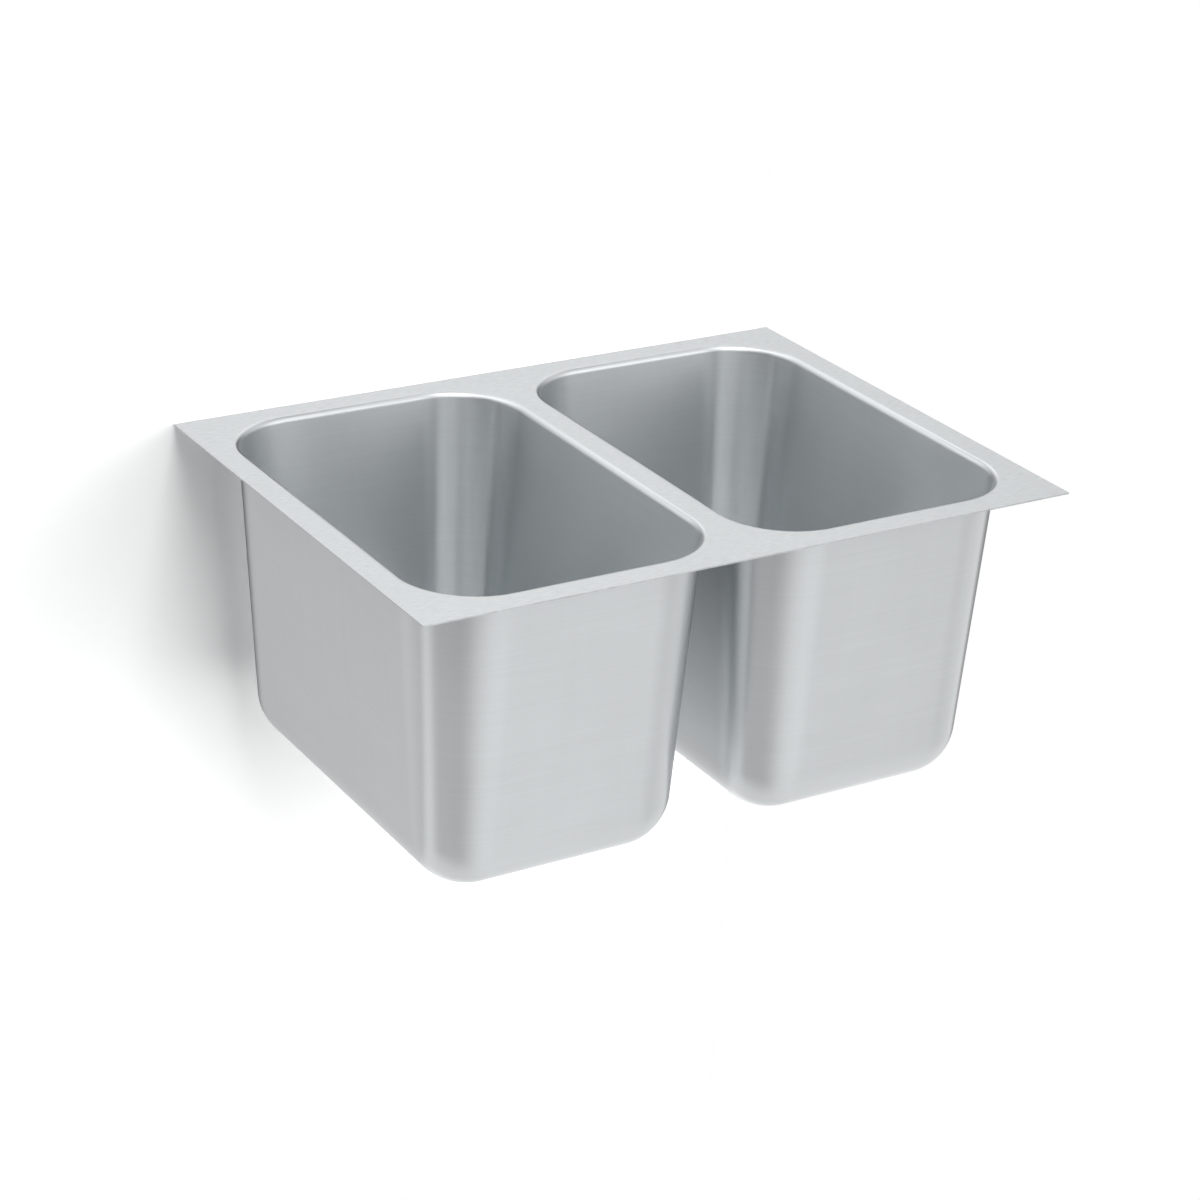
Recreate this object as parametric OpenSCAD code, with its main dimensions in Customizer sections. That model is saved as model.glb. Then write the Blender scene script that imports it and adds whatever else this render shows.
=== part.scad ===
// Undermount kitchen sink with two drawn bowls and a lift-out basket strainer in each.
// The origin is the middle of the rim's top face, which seats under the counter.
// +Z is up, +X runs along the row of bowls and +Y points to the back.

/* [Rim] */
// Flat rim from an opening to the outer edge
rim_w = 20; // [12:0.5:45]
// Flat rim between the two openings
divider_w = 19; // [12:0.5:60]
// Thickness of the steel sheet
sheet_t = 1.2; // [0.7:0.1:2]
// Radius of the weld bead under the divider
weld_r = 2.5; // [1:0.1:4]

/* [Bowls] */
// Width of each opening, between the flat faces of the rim
open_w = 250; // [225:1:420]
// Length of each opening from front to back
open_d = 380; // [290:1:480]
// Depth from the rim's top face to the floor
bowl_depth = 254; // [120:1:300]
// Plan radius of the opening's corners
corner_r = 63; // [45:1:90]
// Radius of the rolled edge between rim and wall
roll_r = 4.5; // [2.5:0.5:10]
// Lean of the walls, in degrees
wall_lean = 3.7; // [0.5:0.1:5]
// Radius of the curve between wall and floor
floor_r = 43; // [12:1:60]

/* [Drain seat] */
// Distance of the drains behind the middle of the bowls
drain_back = 30; // [0:1:55]
// Radial clearance of the floor's hole round the strainer's thread
hole_clear = 1.5; // [1:0.1:4]
// Depth of the pressed seat round the hole
seat_depth = 3; // [1.5:0.1:6]
// Flat seat left outside the strainer's flange
seat_margin = 1.5; // [0.5:0.1:4]

/* [Strainer body] */
// Reach of the strainer's flange beyond the floor's hole
flange_reach = 11; // [9:0.5:13]
// Thickness of the strainer's flange
flange_t = 1.4; // [0.8:0.1:2.5]
// Thickness of the sealing ring under the flange
seal_t = 0.8; // [0.4:0.1:2]
// Outside diameter of the body's thread
body_thread_d = 87; // [84:0.5:89]
// Wall of the spun body
body_wall = 1.4; // [0.8:0.1:2]
// Radius of the body's rolled mouth
throat_r = 3; // [2.2:0.1:3.5]
// Height of the straight part of the body below the seat
cup_h = 21; // [20:0.5:34]
// Slope of the body's funnel, in degrees
funnel_slope = 29; // [15:1:40]
// Outside diameter of the outlet
outlet_d = 47.6; // [40:0.1:52]
// Wall of the outlet
outlet_wall = 2; // [1.2:0.1:3]
// Length of the outlet below the funnel
outlet_h = 18; // [14:0.5:40]
// Height of the thread's ridges
thread_h = 0.6; // [0.3:0.1:0.9]
// Distance from one ridge to the next
thread_pitch = 2; // [1.5:0.1:3]

/* [Under the floor] */
// Thickness of the rubber gasket
gasket_t = 3; // [2:0.1:5]
// Thickness of the card friction ring
friction_t = 1; // [0.5:0.1:2]
// Height of the locknut
locknut_h = 12; // [8:0.5:13]
// Wall of the locknut behind its thread
locknut_wall = 6; // [3:0.5:9]
// Number of lugs on the locknut
lug_count = 6; // [4:1:10]
// Width of a lug
lug_w = 10; // [6:0.5:16]
// Reach of a lug beyond the locknut's wall
lug_reach = 6; // [3:0.5:7]

/* [Cross] */
// Width of the cross's bars
bar_w = 3.5; // [2:0.1:6]
// Thickness of the cross's bars
bar_t = 2.2; // [1.2:0.1:4]
// Diameter of the cross's hub
hub_d = 12; // [10:0.5:16]
// Height of the cross's hub
hub_h = 7; // [5:0.5:10]
// Diameter of the detent ring's wire
detent_wire_d = 1.2; // [0.8:0.1:1.6]

/* [Basket] */
// Thickness of the basket's sheet
basket_t = 0.8; // [0.5:0.1:1.2]
// Radius of the basket's floor
basket_floor_r = 32; // [27:0.5:33]
// Width of the basket's flat rim
basket_rim_w = 1.6; // [1:0.1:3]
// Number of slots round the basket's wall
slot_count = 20; // [8:1:26]
// Width of a slot
slot_w = 2.4; // [1.2:0.1:3.5]
// Number of holes in the basket's floor, which take turns between two rings
hole_count = 24; // [8:1:28]
// Diameter of the holes in the basket's floor
hole_d = 2.8; // [1.5:0.1:3.2]
// Lift between the sealed and the draining position
drain_lift = 9; // [6:0.5:11]

/* [Stopper] */
// Radius of the rubber stopper's lip
stopper_r = 27; // [25:0.5:29]
// Width of the lip's sealing flank
stopper_flank = 3; // [1.5:0.1:4]
// Radius of the stopper's neck
stopper_neck_r = 18; // [12:0.5:19]
// Height of the stopper
stopper_h = 5.5; // [4.5:0.1:6]
// Diameter of the basket's post
post_d = 5; // [4:0.1:6]
// Width across corners of the nut under the stopper
stopper_nut_d = 11; // [8:0.5:16]
// Height of the nut under the stopper
stopper_nut_h = 2.2; // [1.2:0.1:3]

/* [Knob] */
// Diameter of the knob
knob_d = 19; // [14:0.5:26]
// Height of the knob's cap
knob_h = 8; // [5:0.5:10]
// Diameter of the knob's stem
knob_stem_d = 8.5; // [7:0.5:12]
// Diameter of the collar that clamps the basket's floor
collar_d = 14; // [10:0.5:20]
// Height of that collar
collar_h = 1.6; // [1:0.1:3]

/* [Fits] */
// Radial clearance of a running or threaded fit
running_fit = 0.08; // [0.02:0.01:0.1]
// Gap between a moving piece and its seat
seat_gap = 0.3; // [0.2:0.05:0.5]
// Radial clearance of a ring that is slipped over the body
slip_fit = 0.3; // [0.1:0.05:1]

/* [Hidden] */
$fn = 96;

left = -1;
right = 1;
cut = 1;

// Bowls, measured inwards from the edge of an opening
bowl_x = (divider_w + open_w) / 2;
rim_d = open_d + 2 * rim_w;
land = 1;
thread_r = body_thread_d / 2;
hole_r = thread_r + hole_clear;
flange_r = hole_r + flange_reach;
seat_r = flange_r + seat_margin;
seat_mouth_r = seat_r + seat_depth;
floor_reach_max = min(
    corner_r - land,
    open_w / 2 - seat_mouth_r - land,
    open_d / 2 - drain_back - seat_mouth_r - land
);
floor_r_max = (floor_reach_max - floor_reach(0)) / (floor_reach(1) - floor_reach(0));
wall_floor_r = min(floor_r, floor_r_max);
roll_centre = [corner_r, -roll_r];
curve_centre = [corner_r - floor_reach(wall_floor_r), wall_floor_r - bowl_depth];
roll_steps = 8;
curve_steps = 16;

// Levels in a drain, measured from the top of its seat
seat_z = -bowl_depth - seat_depth;
flange_top = seal_t + flange_t;
body_r = thread_r - thread_h;
cup_r = body_r - body_wall;
outlet_r = outlet_d / 2;
outlet_bore_r = outlet_r - outlet_wall;
funnel_wall = body_wall / cos(funnel_slope);
outlet_top = -cup_h - (body_r - outlet_r) * tan(funnel_slope);
outlet_end = outlet_top - outlet_h;
gasket_z = -sheet_t - gasket_t;
friction_z = gasket_z - friction_t;
locknut_z = friction_z - locknut_h;
lug_step = 2;
ring_bore_r = thread_r + slip_fit;
ridge_count = floor((cup_h - sheet_t) / thread_pitch);

// Basket and stopper, sealed
flank_gap = seat_gap / cos(funnel_slope);
stopper_foot = funnel_z(stopper_r - stopper_flank) + flank_gap;
stopper_top = stopper_foot + stopper_h;
stopper_edge = 0.9;
post_r = post_d / 2;
basket_top_r = cup_r - seat_gap;
basket_floor_z = stopper_top + basket_t;
knob_drop = 0.2;
knob_top = flange_top - knob_drop;
knob_z = knob_top - knob_h;
collar_top = basket_floor_z + collar_h;
nut_foot = stopper_foot - stopper_nut_h;
hub_top = min(nut_foot, funnel_z(outlet_bore_r)) - seat_gap;
hub_foot = hub_top - hub_h;
hub_bore_r = post_r + running_fit;
detent_r = hub_bore_r + detent_wire_d / 2;
detent_pocket_r = detent_r + detent_wire_d / 2 + running_fit;
detent_opening = 60;
post_overrun = 3;
post_foot = hub_foot - post_overrun;
post_tip = 0.8;
groove_depth = 0.3;
slot_land = 2.5;
slot_foot = basket_floor_z + slot_land;
slot_top = -2 * slot_land;
hole_row_step = 1.7 * hole_d;

// Unit vector at an angle, in degrees
function along(angle) = [cos(angle), sin(angle)];

// Points along an arc
function arc(centre, r, from, to, steps) =
    [for (i = [0:steps]) centre + r * along(from + (to - from) * i / steps)];

// Distance from an opening's edge to the flat floor, with a given curve from wall to floor
function floor_reach(r) = (roll_r + r) * cos(wall_lean)
    + tan(wall_lean) * (bowl_depth - (roll_r + r) * (1 - sin(wall_lean)));

// Height of the funnel's inner face at a radius
function funnel_z(r) = -cup_h - (body_r - r) * tan(funnel_slope) + funnel_wall;

// Part of a flat ring between two angles less than 180 degrees apart
module ring_sector(centre, r_in, r_out, from, to) {
    reach = 2 * r_out;
    translate(centre)
        intersection() {
            difference() {
                circle(r_out);
                circle(r_in);
            }
            polygon([[0, 0], reach * along(from), reach * along((from + to) / 2), reach * along(to)]);
        }
}

module ring(r_in, r_out, bottom, top) {
    translate([0, 0, bottom])
        difference() {
            cylinder(r = r_out, h = top - bottom);
            translate([0, 0, -cut])
                cylinder(r = r_in, h = top - bottom + 2 * cut);
        }
}

// Section of a bowl's sheet, measured outwards from a corner's centre
module wall_section() {
    wall_side = 180 - wall_lean;
    polygon(concat(
        arc(roll_centre, roll_r, 90, wall_side, roll_steps),
        arc(curve_centre, wall_floor_r, -wall_lean, -90, curve_steps),
        [[0, -bowl_depth], [0, -bowl_depth - sheet_t]],
        arc(curve_centre, wall_floor_r + sheet_t, -90, -wall_lean, curve_steps),
        arc(roll_centre, roll_r - sheet_t, wall_side, 90, roll_steps)
    ));
}

// Pressed step that lets the strainer's flange lie below the floor
module seat_section() {
    bend = sheet_t * tan(45 / 2);
    polygon([
        [seat_mouth_r, 0], [seat_r, -seat_depth], [hole_r, -seat_depth],
        [hole_r, -seat_depth - sheet_t], [seat_r + bend, -seat_depth - sheet_t],
        [seat_mouth_r, -sheet_t - bend]
    ]);
}

module opening_outline() {
    half_w = open_w / 2 - corner_r;
    half_d = open_d / 2 - corner_r;
    square([2 * half_w, open_d], center = true);
    square([open_w, 2 * half_d], center = true);
    for (x = [-half_w, half_w], y = [-half_d, half_d])
        translate([x, y])
            circle(corner_r);
}

module bowl_rim(side) {
    inner = bowl_x;
    outer = open_w / 2 + rim_w;
    low_x = side == right ? -inner : -outer;
    translate([0, 0, -sheet_t])
        linear_extrude(sheet_t)
            difference() {
                translate([low_x, -rim_d / 2])
                    square([inner + outer, rim_d]);
                opening_outline();
            }
}

module bowl_walls() {
    half_w = open_w / 2 - corner_r;
    half_d = open_d / 2 - corner_r;
    for (turn = [0:3]) {
        across = turn % 2 == 0 ? half_w : half_d;
        length = turn % 2 == 0 ? half_d : half_w;
        rotate([0, 0, 90 * turn]) {
            translate([across, length, 0])
                rotate_extrude(angle = 90)
                    wall_section();
            translate([across, length, 0])
                rotate([90, 0, 0])
                    linear_extrude(2 * length)
                        wall_section();
        }
    }
    translate([-half_w, -half_d, -bowl_depth - sheet_t])
        cube([2 * half_w, 2 * half_d, sheet_t]);
}

module bowl(side) {
    color("silver")
        translate([side * bowl_x, 0, 0]) {
            bowl_rim(side);
            difference() {
                bowl_walls();
                translate([0, drain_back, -bowl_depth - sheet_t - cut])
                    cylinder(r = seat_mouth_r, h = sheet_t + 2 * cut);
            }
            translate([0, drain_back, -bowl_depth])
                rotate_extrude()
                    seat_section();
        }
}

// Bead that joins the two bowls' rims from below
module divider_weld() {
    color("gray")
        intersection() {
            translate([0, rim_d / 2, -sheet_t])
                rotate([90, 0, 0])
                    cylinder(r = weld_r, h = rim_d);
            translate([-2 * weld_r, -rim_d / 2, -sheet_t - 2 * weld_r])
                cube([4 * weld_r, rim_d, 2 * weld_r]);
        }
}

// Puts a piece on a drain's axis, with its zero at the top of the seat
module at_drain(side) {
    translate([side * bowl_x, drain_back, seat_z])
        children();
}

// Spun body: flange, rolled mouth, threaded cup, funnel and outlet
module strainer_section() {
    mouth_x = cup_r + throat_r;
    mouth_z = flange_top - throat_r;
    crest = thread_pitch / 4;
    translate([mouth_x, seal_t])
        square([flange_r - flange_t / 2 - mouth_x, flange_t]);
    translate([flange_r - flange_t / 2, seal_t + flange_t / 2])
        circle(flange_t / 2);
    ring_sector([mouth_x, mouth_z], throat_r - body_wall, throat_r, 90, 180);
    polygon([
        [cup_r, mouth_z],
        [cup_r, funnel_z(cup_r)],
        [outlet_bore_r, funnel_z(outlet_bore_r)],
        [outlet_bore_r, outlet_end],
        [outlet_r, outlet_end],
        [outlet_r, outlet_top],
        [body_r, -cup_h],
        [body_r, mouth_z]
    ]);
    for (i = [0:ridge_count - 1])
        translate([body_r, -sheet_t - (i + 0.5) * thread_pitch])
            polygon([
                [-body_wall / 2, -thread_h], [0, -thread_h - crest / 2], [thread_h, -crest / 2],
                [thread_h, crest / 2], [0, thread_h + crest / 2], [-body_wall / 2, thread_h]
            ]);
}

module strainer_body(side) {
    color("lightgray")
        at_drain(side)
            rotate_extrude()
                strainer_section();
}

module flange_seal(side) {
    color("dimgray")
        at_drain(side)
            ring(hole_r + slip_fit, flange_r - flange_t, 0, seal_t);
}

module floor_gasket(side) {
    color("black")
        at_drain(side)
            ring(ring_bore_r, flange_r, gasket_z, -sheet_t);
}

module friction_ring(side) {
    color("tan")
        at_drain(side)
            ring(ring_bore_r, flange_r - seat_margin, friction_z, gasket_z);
}

module locknut(side) {
    nut_r = thread_r + locknut_wall;
    lug_h = locknut_h - lug_step;
    color("darkgray")
        at_drain(side)
            translate([0, 0, locknut_z])
                difference() {
                    union() {
                        cylinder(r = nut_r, h = locknut_h);
                        for (i = [0:lug_count - 1])
                            rotate([0, 0, i * 360 / lug_count])
                                translate([thread_r + locknut_wall / 2, -lug_w / 2, 0])
                                    cube([locknut_wall / 2 + lug_reach, lug_w, lug_h]);
                    }
                    translate([0, 0, -cut])
                        cylinder(r = thread_r + running_fit, h = locknut_h + 2 * cut);
                }
}

// Cross in the outlet, with the hub that guides the basket's post
module strainer_cross(side) {
    color("silver")
        at_drain(side)
            difference() {
                union() {
                    translate([0, 0, hub_foot])
                        cylinder(d = hub_d, h = hub_h);
                    translate([0, 0, hub_foot])
                        intersection() {
                            cylinder(r = outlet_bore_r, h = bar_t);
                            for (turn = [45, 135])
                                rotate([0, 0, turn])
                                    translate([-outlet_d / 2, -bar_w / 2, 0])
                                        cube([outlet_d, bar_w, bar_t]);
                        }
                }
                translate([0, 0, hub_foot - cut])
                    cylinder(r = hub_bore_r, h = hub_h + 2 * cut);
                translate([0, 0, hub_top - detent_wire_d - running_fit])
                    cylinder(r = detent_pocket_r, h = detent_wire_d + running_fit + cut);
            }
}

// Open spring ring that snaps into the post's grooves
module detent_ring(side) {
    color("gray")
        at_drain(side)
            translate([0, 0, hub_top - detent_wire_d / 2 - running_fit])
                rotate([0, 0, detent_opening / 2])
                    rotate_extrude(angle = 360 - detent_opening)
                        translate([detent_r, 0])
                            circle(d = detent_wire_d, $fn = 24);
}

module basket_section() {
    rim_r = basket_top_r - basket_rim_w;
    polygon([
        [0, stopper_top], [basket_floor_r, stopper_top], [rim_r, -basket_t],
        [basket_top_r, -basket_t], [basket_top_r, 0], [rim_r - basket_t, 0],
        [basket_floor_r - basket_t, basket_floor_z], [0, basket_floor_z]
    ]);
}

module basket_cup(side) {
    outer_ring_r = (basket_floor_r + stopper_r) / 2 - hole_d / 2;
    inner_ring_r = outer_ring_r - hole_row_step;
    color("silver")
        at_drain(side)
            difference() {
                rotate_extrude()
                    basket_section();
                translate([0, 0, stopper_top - cut])
                    cylinder(r = post_r, h = basket_t + 2 * cut);
                for (i = [0:slot_count - 1])
                    rotate([0, 0, i * 360 / slot_count])
                        translate([basket_floor_r - slot_w, -slot_w / 2, slot_foot])
                            cube([basket_top_r - basket_floor_r + slot_w, slot_w, slot_top - slot_foot]);
                for (i = [0:hole_count - 1])
                    rotate([0, 0, i * 360 / hole_count])
                        translate([i % 2 == 0 ? outer_ring_r : inner_ring_r, 0, stopper_top - cut])
                            cylinder(d = hole_d, h = basket_t + 2 * cut, $fn = 24);
            }
}

// Rod with a tapered foot, two detent grooves and the collar that clamps the basket
module basket_post(side) {
    groove_z = hub_top - detent_wire_d / 2 - running_fit;
    stem_top = knob_z + knob_h / 2;
    color("lightgray")
        at_drain(side)
            difference() {
                union() {
                    translate([0, 0, post_foot + post_tip])
                        cylinder(r = post_r, h = stem_top - post_foot - post_tip);
                    translate([0, 0, post_foot])
                        cylinder(r1 = post_r - post_tip, r2 = post_r, h = post_tip);
                    translate([0, 0, basket_floor_z])
                        cylinder(d = collar_d, h = collar_h);
                }
                for (z = [groove_z, groove_z - drain_lift])
                    ring(post_r - groove_depth, post_r + cut, z - detent_wire_d / 2, z + detent_wire_d / 2);
            }
}

module basket_knob(side) {
    cap_edge = knob_h / 4;
    color("gainsboro")
        at_drain(side)
            difference() {
                rotate_extrude()
                    polygon([
                        [0, collar_top], [knob_stem_d / 2, collar_top], [knob_stem_d / 2, knob_z],
                        [knob_d / 2 - cap_edge, knob_z], [knob_d / 2, knob_z + cap_edge],
                        [knob_d / 2, knob_top - cap_edge], [knob_d / 2 - cap_edge, knob_top], [0, knob_top]
                    ]);
                translate([0, 0, collar_top - cut])
                    cylinder(r = post_r, h = knob_z + knob_h / 2 - collar_top + cut);
            }
}

module stopper(side) {
    color("black")
        at_drain(side)
            rotate_extrude()
                polygon([
                    [post_r, stopper_foot],
                    [stopper_r - stopper_flank, stopper_foot],
                    [stopper_r, stopper_foot + stopper_flank * tan(funnel_slope)],
                    [stopper_r, stopper_foot + stopper_flank * tan(funnel_slope) + stopper_edge],
                    [stopper_neck_r, stopper_top - stopper_edge],
                    [stopper_neck_r, stopper_top],
                    [post_r, stopper_top]
                ]);
}

module stopper_nut(side) {
    color("gray")
        at_drain(side)
            translate([0, 0, nut_foot])
                difference() {
                    cylinder(d = stopper_nut_d, h = stopper_nut_h, $fn = 6);
                    translate([0, 0, -cut])
                        cylinder(r = post_r, h = stopper_nut_h + 2 * cut);
                }
}

bowl(left);  // bowl_left
bowl(right);  // bowl_right
divider_weld();
strainer_body(left);  // strainer_body_left
strainer_body(right);  // strainer_body_right
flange_seal(left);  // flange_seal_left
flange_seal(right);  // flange_seal_right
floor_gasket(left);  // floor_gasket_left
floor_gasket(right);  // floor_gasket_right
friction_ring(left);  // friction_ring_left
friction_ring(right);  // friction_ring_right
locknut(left);  // locknut_left
locknut(right);  // locknut_right
strainer_cross(left);  // strainer_cross_left
strainer_cross(right);  // strainer_cross_right
detent_ring(left);  // detent_ring_left
detent_ring(right);  // detent_ring_right
basket_cup(left);  // basket_cup_left
basket_cup(right);  // basket_cup_right
basket_post(left);  // basket_post_left
basket_post(right);  // basket_post_right
basket_knob(left);  // basket_knob_left
basket_knob(right);  // basket_knob_right
stopper(left);  // stopper_left
stopper(right);  // stopper_right
stopper_nut(left);  // stopper_nut_left
stopper_nut(right);  // stopper_nut_right
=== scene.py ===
"""Undermount sink with two drawn bowls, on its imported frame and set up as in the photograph."""

import math

import bmesh
import bpy
from mathutils import Matrix, Vector


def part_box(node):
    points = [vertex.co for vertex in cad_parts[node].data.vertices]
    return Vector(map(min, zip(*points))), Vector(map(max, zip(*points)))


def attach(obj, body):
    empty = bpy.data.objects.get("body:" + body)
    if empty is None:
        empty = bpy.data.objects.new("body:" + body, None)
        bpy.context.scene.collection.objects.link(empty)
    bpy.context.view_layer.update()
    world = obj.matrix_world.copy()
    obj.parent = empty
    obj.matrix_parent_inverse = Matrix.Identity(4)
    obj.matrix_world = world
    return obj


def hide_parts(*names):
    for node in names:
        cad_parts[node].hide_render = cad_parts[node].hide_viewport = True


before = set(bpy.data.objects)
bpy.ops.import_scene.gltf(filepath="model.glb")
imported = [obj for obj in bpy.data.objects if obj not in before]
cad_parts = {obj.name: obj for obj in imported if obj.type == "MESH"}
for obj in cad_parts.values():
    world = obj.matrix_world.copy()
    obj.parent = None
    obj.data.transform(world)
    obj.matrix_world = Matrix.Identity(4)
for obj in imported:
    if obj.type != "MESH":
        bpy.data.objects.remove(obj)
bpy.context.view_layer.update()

SIDES = ("left", "right")
MM = 0.001

# Camera, in degrees and metres
CAMERA_AZIMUTH = -31.80
CAMERA_ELEVATION = 24.21
CAMERA_ROLL = 2.48
CAMERA_PLACE = (-1.17891, -1.88662, 0.87888)
CAMERA_LENS = 92.346
SENSOR_WIDTH = 36.0

# Sink, in metres
RIM_WIDTH = 0.020
DIVIDER_WIDTH = 0.019
SHEET = 0.0012
CORNER_RADIUS = 0.063
ROLL_RADIUS = 0.0045
FLOOR_RADIUS = 0.043
WALL_LEAN = math.radians(3.7)
SEAT_DEPTH = 0.003
SEAT_MOUTH = 0.0605
SEAT_FLAT = 0.0575
FLOOR_HOLE = 0.045
SUPPORT = 0.0015
CORNER_STEPS = 24
ROLL_STEPS = 10
CURVE_STEPS = 20
SEAT_STEPS = 96

# Weld bead, in metres, and in shares of its radius
WELD_INSET = 0.014
WELD_TAPER = 0.005
WELD_RIPPLE = 0.0018
WELD_ROWS = 4
WELD_BOW = 0.6
WELD_DIP = 0.16
WELD_TIP = 0.3

# Drain parts, in millimetres from their axis and from the top of their seat
TURN_STEPS = 96
THREAD_STEPS = 64
FUNNEL_SLOPE = math.radians(29)
BODY_WALL = 1.4
THREAD_RADIUS = 43.5
THREAD_HEIGHT = 0.6
THREAD_PITCH = 2.0
CUP_DEPTH = 21.0
MOUTH_ROLL = 3.0
OUTLET_RADIUS = 23.8
OUTLET_WALL = 2.0
SEAL_BORE = 45.3
WASHER_BORE = 43.8
POST_RADIUS = 2.5
COLLAR_RADIUS = 7.0
COLLAR_HEIGHT = 1.6
DRAIN_LIFT = 9.0

# Basket, in millimetres
BASKET_COLUMNS = 120
BASKET_SHEET = 0.8
SLOT_COUNT = 20
SLOT_WIDTH = 2.4
HOLE_COUNT = 24
HOLE_RADIUS = 1.4
HOLE_ROWS = (28.1, 23.34)

# Stage, in metres, and the levels of its paper in the light and as it is seen
FLOOR_DROP = -0.8
FLOOR_FRONT = -0.25
FLOOR_BACK = 6.0
FLOOR_SIDE = 6.0
WALL_GAP = 0.0006
WALL_LEFT = -2.6
WALL_RIGHT = 0.27
WALL_TOP = 1.2
PAPER_LEVEL = 0.82
WALL_SEEN_LEVEL = 1.28
FLOOR_GLOW = 1.0

# White surround that the metal sees, with soft lights, and dark flags where the level is below 0:
# azimuth and elevation in degrees, sharpness and level
SURROUND = 1.0
DARKEST = 0.02
SOFT_LIGHTS = (
    (-156.0, 58.0, 16.0, 3.2),
    (-73.0, 51.0, 3.9, 2.24),
    (30.0, 30.0, 13.0, 1.63),
    (142.0, 5.0, 16.0, 2.44),
    (32.0, -55.0, 15.0, 1.82),
    (34.0, -22.0, 25.0, 0.85),
    (-145.0, -36.0, 16.0, -0.43),
    (27.0, 64.0, 13.7, -1.29),
    (31.0, -4.0, 4.1, -1.8),
    (-92.0, 28.0, 2.9, -1.8),
    (139.0, -5.0, 15.7, -1.8),
)

# Lamps that throw the shadow and stay out of the metal: name, azimuth and elevation in degrees,
# distance, width and height in metres, and radiance, which is 1 where a lamp looks white
LAMPS = (
    ("front_softbox", 148.0, 0.0, 2.6, 4.8, 3.6, 2.19),
    ("core_softbox", 190.0, 32.0, 2.4, 0.8, 0.8, 7.1),
    ("top_softbox", 180.0, 85.0, 9.0, 4.4, 4.4, 12.8),
    ("back_softbox", 0.0, 40.0, 2.2, 1.0, 1.0, 6.4),
)
GLOSSY_BOUNCES = 12


def arc(centre, radius, start, end, steps):
    """Points on an arc, with its angles in degrees."""
    angles = [math.radians(start + (end - start) * i / steps) for i in range(steps + 1)]
    return [(centre[0] + radius * math.cos(a), centre[1] + radius * math.sin(a)) for a in angles]


class Wire:
    """One shader socket. Sums, products and powers of wires add Math nodes to its tree."""

    def __init__(self, socket):
        self.socket = socket

    def node(self, kind, inputs, output=0, stops=(), **settings):
        """Adds a node: its settings first, then its sockets from numbers, colours or wires."""
        tree = self.socket.id_data
        made = tree.nodes.new("ShaderNode" + kind)
        for name, value in settings.items():
            setattr(made, name, value)
        for element, (place, colour) in zip(made.color_ramp.elements if stops else (), stops):
            element.position = place
            element.color = colour
        for name, value in inputs.items():
            if isinstance(value, Wire):
                tree.links.new(value.socket, made.inputs[name])
            else:
                made.inputs[name].default_value = value
        return Wire(made.outputs[output])

    def math(self, operation, first, second):
        return self.node("Math", {0: first, 1: second}, operation=operation)

    def __add__(self, other):
        return self.math("ADD", self, other)

    def __radd__(self, other):
        return self.math("ADD", other, self)

    def __sub__(self, other):
        return self.math("SUBTRACT", self, other)

    def __mul__(self, other):
        return self.math("MULTIPLY", self, other)

    def __rmul__(self, other):
        return self.math("MULTIPLY", other, self)

    def __rpow__(self, other):
        return self.math("POWER", other, self)

    def feed(self, shader, name):
        self.socket.id_data.links.new(self.socket, shader.inputs[name])


STEEL_TINT = (0.970, 1.0, 1.014)
CLOUDS = 11.0


def grey(level, tint=(1.0, 1.0, 1.0)):
    return (level * tint[0], level * tint[1], level * tint[2], 1.0)


def steel(level):
    """A grey with the cool cast of the sink's steel."""
    return grey(level, STEEL_TINT)


def new_finish(name, **constants):
    """A material whose shader has these constants, its shader and its Object coordinates."""
    material = bpy.data.materials.new(name)
    material.use_nodes = True
    shader = material.node_tree.nodes["Principled BSDF"]
    for socket, value in constants.items():
        shader.inputs[socket.replace("_", " ")].default_value = value
    coordinates = material.node_tree.nodes.new("ShaderNodeTexCoord")
    return material, shader, Wire(coordinates.outputs["Object"])


def noise(place, stretch, detail, rough):
    """Fractal noise about 0.5, with its grain to the metre along each axis, or along all."""
    stretch = stretch if isinstance(stretch, tuple) else (stretch, stretch, stretch)
    mapped = place.node("Mapping", {"Vector": place, "Scale": stretch})
    return mapped.node("TexNoise", {
        "Vector": mapped, "Scale": 1.0, "Detail": detail, "Roughness": rough})


def tone(mask, dark, light):
    """A colour between two others, by a mask."""
    return mask.node("Mix", {"Factor": mask, 6: dark, 7: light}, output=2,
                     data_type="RGBA", clamp_factor=True)


def bump(height, strength, distance):
    return height.node("Bump", {"Height": height, "Strength": strength, "Distance": distance})


def bowl_steel():
    """Satin sheet of the walls, brushed level, with faint upright marks of the drawing."""
    material, shader, place = new_finish(
        "bowl_steel", Metallic=1.0, Anisotropic=0.9, Anisotropic_Rotation=0.25)
    brushed = noise(place, (9.0, 9.0, 700.0), 4.0, 0.6) - 0.5
    drawn = noise(place, (130.0, 130.0, 3.0), 2.0, 0.5) - 0.5
    cloud = noise(place, CLOUDS, 2.0, 0.5) - 0.5
    tone(0.5 + brushed * 0.5 + cloud * 0.3 + drawn * 0.15, steel(0.62), steel(0.76)).feed(
        shader, "Base Color")
    (0.32 + brushed * 0.05 + cloud * 0.03).feed(shader, "Roughness")
    bump(brushed + drawn * 0.3, 0.06, 0.00004).feed(shader, "Normal")
    return material


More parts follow.
